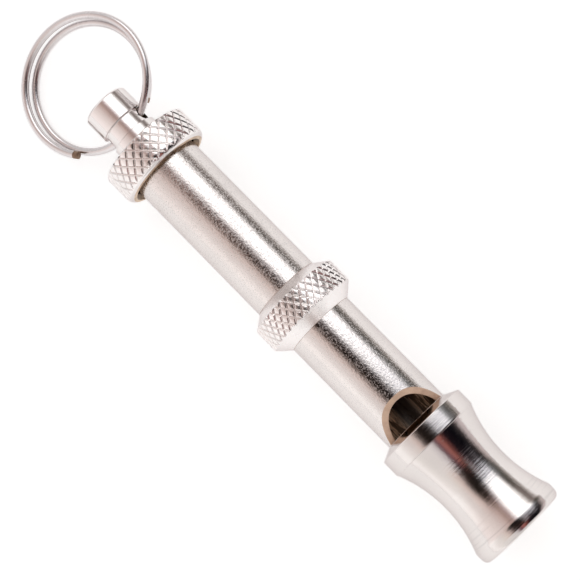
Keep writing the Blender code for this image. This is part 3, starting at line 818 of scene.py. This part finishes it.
def ring_axes():
    """Directions along the eye, out from the cap and across the strands."""
    along = Vector((0.0, cos(EYE_TILT), sin(EYE_TILT)))
    lift = Vector((1.0, 0.0, 0.0)).cross(along)
    out = Vector((-cos(RING_DROP), 0.0, 0.0)) - sin(RING_DROP) * lift
    return along, out, along.cross(out)


def ring_point(turn_deg):
    """Centre line of the ring's wire, from the middle of the eye, as in the CAD."""
    along, out, across = ring_axes()
    begin, end = CROSSOVER
    through = (begin + 360.0) / (begin - end)
    shift = sum(min(1.0, max(0.0, (begin - turn_deg - 9.0 * k / 4.0) / (begin - end)))
                for k in range(-4, 5)) / 9.0
    from_eye = turn_deg + 360.0
    part = min(1.0, max(0.0, (abs(from_eye) - SPLAY_FROM) / SPLAY_OVER))
    open_by = RING_SPLAY * part * part * (3.0 - 2.0 * part)
    radius = RING_MEAN_R + (open_by if from_eye > 0.0 else -open_by)
    angle = radians(turn_deg)
    centre = (RING_MEAN_R - 0.5 * EYE_SAG) * out
    flat = centre + radius * (sin(angle) * along - cos(angle) * out)
    flat -= 0.5 * RING_SKEW * (1.0 - cos(angle)) * along
    return flat + STRAND_PITCH * (through - shift) * across


def make_ring(mats):
    """Spring wire wound nearly twice round, bare and dull near its two cut ends."""
    bm = bmesh.new()
    points = [ring_point(RING_START + (RING_END - RING_START) * i / WIRE_STEPS)
              for i in range(WIRE_STEPS + 1)]
    across = ring_axes()[2]

    def section(i, radius, push=0.0):
        """A loop round the wire at point i, pushed along the wire by this much."""
        ahead = points[min(i + 1, WIRE_STEPS)] - points[max(i - 1, 0)]
        tangent = ahead.normalized()
        side = tangent.cross(across).normalized()
        up = side.cross(tangent)
        loop = []
        for k in range(WIRE_SIDES):
            turn = 2 * pi * k / WIRE_SIDES
            offset = points[i] + push * tangent + radius * (cos(turn) * side + sin(turn) * up)
            loop.append(bm.verts.new(at(EYE_STATION) + offset * MM))
        return loop

    chamfer, back = 0.08, 0.05
    loops = [section(0, WIRE_R - chamfer), section(0, WIRE_R, back)]
    loops += [section(i, WIRE_R) for i in range(1, WIRE_STEPS)]
    loops += [section(WIRE_STEPS, WIRE_R, -back), section(WIRE_STEPS, WIRE_R - chamfer)]
    plain = len(loops) - 1 - 2 * BARE_STEPS
    bridge_all(bm, loops, [1] * BARE_STEPS + [0] * plain + [1] * BARE_STEPS)
    bm.faces.new(loops[0]).material_index = 1
    bm.faces.new(loops[-1]).material_index = 1
    return to_object("split_ring_wire", bm, mats, crease=40.0)


def make_piston(mats):
    """Piston head with a groove for its seal, reaching back to the rod."""
    groove_r = PISTON_R - PISTON_GROOVE_DEPTH
    s0, s1 = PISTON_START, PISTON_END
    g0 = s0 + PISTON_GROOVE_AT
    g1 = g0 + PISTON_GROOVE
    outline = [(s0, 0.0), (s0, 1.0), (s0, PISTON_R - 0.1), (s0 + 0.1, PISTON_R),
               (g0 - 0.05, PISTON_R), (g0, PISTON_R - 0.05), (g0, groove_r), (g1, groove_r),
               (g1, PISTON_R - 0.05), (g1 + 0.05, PISTON_R), (s1 - 0.1, PISTON_R),
               (s1, PISTON_R - 0.1), (s1, SOCKET_R + 0.05), (s1 - 0.05, SOCKET_R),
               (ROD_START - 0.1, SOCKET_R), (ROD_START - 0.1, 0.0)]
    return lathe("piston_head_body", outline, mats, PISTON_SIDES)


def make_rod(mats):
    """Round rod with chamfered ends."""
    ease = 0.1
    outline = [(ROD_START, 0.0), (ROD_START, ROD_R - ease), (ROD_START + ease, ROD_R),
               (ROD_END - ease, ROD_R), (ROD_END, ROD_R - ease), (ROD_END, 0.0)]
    return lathe("piston_rod_body", outline, mats, ROD_SIDES)


def make_seal(mats):
    """Rubber ring with rounded corners; its outline starts and ends in the bore."""
    s0, s1 = SEAL_START, SEAL_END
    start = (s0 + 0.3, SEAL_INNER_R)
    corners = [(s0, SEAL_INNER_R), (s0, SEAL_OUTER_R), (s1, SEAL_OUTER_R), (s1, SEAL_INNER_R)]
    outline = rounded([start] + corners + [start], [0, 0.1, 0.3, 0.3, 0.1, 0])[:-1]
    return lathe("piston_seal_ring", outline, mats, PISTON_SIDES)


# ---- studio -------------------------------------------------------------------------------

# What the metal reflects: the tent's brightness by the angle in degrees from straight up,
# negative on the side of lower y. One pattern follows another along the whistle.
TENT_FIRST = [
    (-90, (1.1, 1.05, 1.04)), (-77, (1.14, 1.05, 1.03)), (-55, (1.0, 0.9, 0.87)),
    (-36, (0.84, 0.73, 0.7)), (-18, (0.68, 0.53, 0.49)), (-9, (0.48, 0.35, 0.31)),
    (0, (0.5, 0.37, 0.35)), (6, (0.78, 0.68, 0.68)), (13, (1.5, 1.48, 1.48)),
    (20, (1.9, 1.9, 1.9)), (50, (1.9, 1.9, 1.9)), (58, (1.1, 1.08, 1.07)),
    (66, (0.34, 0.3, 0.28)), (76, (0.22, 0.18, 0.17)), (84, (0.5, 0.46, 0.44)),
    (90, (1.0, 0.96, 0.94))]
TENT_NEAR = [
    (-90, (1.12, 1.09, 1.08)), (-80, (1.29, 1.25, 1.23)), (-66, (1.18, 1.12, 1.1)),
    (-55, (0.98, 0.91, 0.89)), (-44, (0.92, 0.84, 0.82)), (-37, (0.93, 0.8, 0.75)),
    (-30, (0.84, 0.70, 0.66)), (-25, (0.68, 0.55, 0.5)), (-19, (0.22, 0.165, 0.145)),
    (-13, (0.03, 0.02, 0.015)), (-5, (0.02, 0.014, 0.012)), (1, (0.08, 0.06, 0.055)),
    (7, (0.26, 0.23, 0.23)), (12, (0.62, 0.59, 0.6)), (17, (1.4, 1.4, 1.42)),
    (22, (1.9, 1.9, 1.92)), (50, (1.9, 1.9, 1.92)), (55, (1.3, 1.28, 1.28)),
    (60, (0.5, 0.48, 0.47)), (65, (0.16, 0.15, 0.14)), (71, (0.1, 0.09, 0.08)),
    (79, (0.2, 0.18, 0.16)), (85, (0.5, 0.46, 0.44)), (90, (0.76, 0.71, 0.69))]
TENT_MIDDLE = [
    (-90, (1.15, 1.13, 1.12)), (-82, (1.29, 1.28, 1.27)), (-71, (1.23, 1.22, 1.21)),
    (-60, (1.06, 1.02, 1.0)), (-46, (0.9, 0.83, 0.81)), (-36, (0.86, 0.76, 0.72)),
    (-30, (0.72, 0.6, 0.56)), (-26, (0.38, 0.32, 0.3)), (-20, (0.1, 0.085, 0.08)),
    (-12, (0.015, 0.01, 0.008)), (5, (0.008, 0.007, 0.007)), (10, (0.03, 0.03, 0.032)),
    (15, (0.14, 0.14, 0.16)), (21, (0.45, 0.46, 0.5)), (30, (0.68, 0.7, 0.76)),
    (40, (0.95, 0.98, 1.06)), (50, (0.95, 0.97, 1.05)), (55, (0.6, 0.63, 0.67)),
    (61, (0.3, 0.31, 0.32)), (71, (0.12, 0.12, 0.115)), (78, (0.17, 0.16, 0.145)),
    (83, (0.4, 0.37, 0.35)), (90, (0.7, 0.66, 0.64))]
TENT_DUSK = [
    (-90, (1.1, 1.06, 1.05)), (-80, (1.25, 1.23, 1.22)), (-68, (1.08, 1.04, 1.02)),
    (-50, (0.95, 0.91, 0.88)), (-34, (0.87, 0.75, 0.69)), (-25, (0.7, 0.58, 0.54)),
    (-18, (0.22, 0.16, 0.15)), (-11, (0.05, 0.035, 0.03)), (0, (0.02, 0.012, 0.01)),
    (12, (0.03, 0.02, 0.017)), (20, (0.2, 0.17, 0.17)), (27, (0.2, 0.16, 0.17)),
    (35, (0.06, 0.05, 0.055)), (50, (0.12, 0.11, 0.12)), (60, (0.03, 0.027, 0.03)),
    (69, (0.05, 0.04, 0.04)), (75, (0.36, 0.31, 0.3)), (82, (0.66, 0.58, 0.57)),
    (90, (0.75, 0.67, 0.66))]
TENT_FAR = [
    (-90, (1.1, 1.06, 1.05)), (-80, (1.25, 1.23, 1.22)), (-68, (1.06, 1.03, 1.0)),
    (-55, (0.95, 0.92, 0.90)), (-28, (0.93, 0.89, 0.88)), (-17, (0.79, 0.75, 0.75)),
    (-10, (0.62, 0.57, 0.58)), (-5, (0.26, 0.19, 0.2)), (0, (0.2, 0.1, 0.11)),
    (6, (0.34, 0.14, 0.13)), (11, (0.38, 0.14, 0.12)), (17, (0.2, 0.07, 0.06)),
    (23, (0.08, 0.03, 0.03)), (29, (0.012, 0.007, 0.01)), (50, (0.003, 0.003, 0.005)),
    (61, (0.018, 0.016, 0.018)), (68, (0.08, 0.065, 0.065)), (73, (0.36, 0.31, 0.31)),
    (80, (0.65, 0.58, 0.585)), (90, (0.75, 0.67, 0.66))]
TENT_STRENGTH = 2.0

# Where each later pattern fades in, in metres along x from the middle of the tent.
TENT_CHANGES = [(-0.135, -0.088, TENT_NEAR), (-0.035, 0.008, TENT_MIDDLE),
                (0.048, 0.08, TENT_DUSK), (0.15, 0.19, TENT_FAR)]


def tent_light(centre_x):
    """The tent's emission material."""
    g = Graph("studio_tent_light")
    g.tree.nodes.remove(g.shader)
    x, turn = g.around()
    share = g.remap(turn, -pi / 2, pi / 2, 0.0, 1.0)

    def pattern(stops):
        return g.ramp(share, [((degree + 90.0) / 180.0, tuple(c / TENT_STRENGTH for c in colour))
                              for degree, colour in stops])

    colour = pattern(TENT_FIRST)
    for begin, end, stops in TENT_CHANGES:
        fade = g.remap(x, centre_x + begin, centre_x + end, 0.0, 1.0)
        colour = g.mix(fade, colour, pattern(stops))
    lit = g.node("ShaderNodeEmission")
    g.link(colour, lit.inputs["Color"])
    lit.inputs["Strength"].default_value = TENT_STRENGTH
    g.link(lit.outputs[0], g.out.inputs["Surface"])
    return g.mat


def make_tent(centre_x):
    """A half cylinder round the whistle whose lit panels and gaps show in the metal."""
    radius, reach = 0.45, 0.62
    steps, span_deg = 64, 178.0
    bm = bmesh.new()
    rows = []
    for k in range(steps + 1):
        turn = radians(-0.5 * span_deg + span_deg * k / steps)
        y, z = AXIS_Y + radius * sin(turn), AXIS_Z + radius * cos(turn)
        rows.append([bm.verts.new(Vector((centre_x + x, y, z))) for x in (-reach, reach)])
    for a, b in zip(rows, rows[1:]):
        bm.faces.new((a[0], a[1], b[1], b[0]))
    tent = to_object("studio_tent", bm, [tent_light(centre_x)])
    tent.visible_camera = False
    tent.visible_diffuse = False
    tent.visible_shadow = False
    tent.visible_transmission = False


def make_floor():
    """Pale paper, just under the whistle."""
    bm = bmesh.new()
    size, below = 3.0, 0.00002
    bm.faces.new([bm.verts.new(Vector((x * size, y * size, -below)))
                  for x, y in ((-1, -1), (1, -1), (1, 1), (-1, 1))])
    g = Graph("floor_paper")
    shade_of = g.remap(g.noise(6.0, 2.0), 0.3, 0.7, 0.83, 0.85)
    colour = g.node("ShaderNodeCombineColor")
    for socket in colour.inputs[:3]:
        g.link(shade_of, socket)
    g.finish(colour.outputs[0], 0.9, None, 0.0)
    g.shader.inputs["Specular IOR Level"].default_value = 0.1
    g.shader.inputs["Emission Color"].default_value = (1.0, 0.995, 0.99, 1.0)
    g.shader.inputs["Emission Strength"].default_value = 0.45
    to_object("floor", bm, [g.mat])


def set_world():
    """Even, slightly warm light from all round."""
    world = bpy.data.worlds.new("studio_world")
    world.use_nodes = True
    back = world.node_tree.nodes["Background"]
    back.inputs["Color"].default_value = (0.96, 0.945, 0.94, 1.0)
    back.inputs["Strength"].default_value = 0.82
    bpy.context.scene.world = world


def set_camera():
    """Almost straight down, a little towards the mouth end; returns the point looked at."""
    tilt = 0.1296
    distance = 0.2348
    aim_station, aim_across = 43.96, 0.27
    along_share, across_share = 0.70157, 0.71260    # how the whistle lies across the frame
    view_width = 580.0 / 1754.0                     # of the frame, at unit distance
    look_at = at(aim_station) + Vector((0.0, aim_across * MM, 0.0))
    back = Vector((sin(tilt), 0.0, cos(tilt)))
    down_axis = Vector((cos(tilt), 0.0, -sin(tilt)))
    across = Vector((0.0, 1.0, 0.0))
    right = along_share * down_axis + across_share * across
    up = -across_share * down_axis + along_share * across
    turn = Matrix((right, up, back)).transposed().to_4x4()
    data = bpy.data.cameras.new("camera")
    data.sensor_width = 36.0
    data.lens = data.sensor_width / view_width
    data.clip_start = 0.01
    data.clip_end = 20.0
    camera = bpy.data.objects.new("camera", data)
    camera.matrix_world = Matrix.Translation(look_at + distance * back) @ turn
    bpy.context.scene.collection.objects.link(camera)
    bpy.context.scene.camera = camera
    return look_at


def make_pieces():
    """Every visible piece in its materials, placed on its body."""
    sleeve = nickel("nickel_sleeve", 0.12, speckle=2.6, stretch=(0.7, 1.0, 1.0), grain=0.3,
                    hair=(1.5, 0.7, 0.7))
    tube = nickel("nickel_tube", 0.08, speckle=2.2, stretch=(0.7, 1.0, 1.0), grain=0.26)
    turned = nickel("nickel_turned", 0.06, speckle=0.9, turned=1.6, stretch=(1.0, 0.6, 0.6),
                    stain_to=0.12, grain=0.08)
    knurl = nickel("nickel_knurl", 0.24, light=(0.9, 0.86, 0.845))
    cap = nickel("nickel_cap", 0.13, light=(0.8, 0.76, 0.745), turned=0.5)
    cap_knurl = nickel("nickel_cap_knurl", 0.2, light=(0.9, 0.86, 0.845))
    wire = nickel("steel_wire", 0.24, light=(0.70, 0.665, 0.665))
    steel = nickel("steel_rod", 0.25, light=(0.6, 0.6, 0.61), stretch=(0.7, 1.0, 1.0))
    bare = brass("steel_bare", (0.36, 0.25, 0.18), (0.16, 0.10, 0.07), 0.45)
    cut_brass = brass("brass_cut", (0.84, 0.62, 0.47), (0.66, 0.45, 0.33), 0.5, 0.3)
    worn_edge = brass("brass_worn", (0.70, 0.54, 0.40), (0.42, 0.30, 0.20), 0.35)
    # Brass under the cap's skirt, darkened to dark brown as painted shade for the hollow.
    skirt = brass("brass_skirt_painted_shade", (0.26, 0.17, 0.10), (0.10, 0.06, 0.035), 0.4)
    inside = brass("brass_inside", (0.5, 0.36, 0.24), (0.2, 0.13, 0.08))
    plug = brass("brass_plug")
    bore = bore_brass("brass_bore")
    seal = rubber("rubber_seal")

    place(make_mouthpiece([turned, cut_brass]), "whistle_body", "mouthpiece")
    place(make_plug([plug]), "whistle_body", "windway_plug")
    place(make_barrel([tube, cut_brass, bore]), "whistle_body", "lower_barrel")
    place(make_bush([inside]), "whistle_body", "thread_bush")
    place(make_nut([knurl, cut_brass]), "lock_nut", "lock_nut")
    place(make_sleeve([sleeve, inside]), "adjuster", "upper_sleeve")
    place(make_cap([cap, skirt, worn_edge, cap_knurl]), "adjuster", "end_cap")
    place(make_rod([steel]), "adjuster", "piston_rod")
    place(make_piston([plug]), "adjuster", "piston_head")
    place(make_seal([seal]), "seal", "piston_seal")
    place(make_ring([wire, bare]), "split_ring", "split_ring")


def main():
    look_at = set_camera()
    set_world()
    bpy.context.scene.view_settings.view_transform = "Standard"
    bpy.context.scene.view_settings.look = "None"
    make_floor()
    make_tent(look_at.x)
    make_pieces()


main()
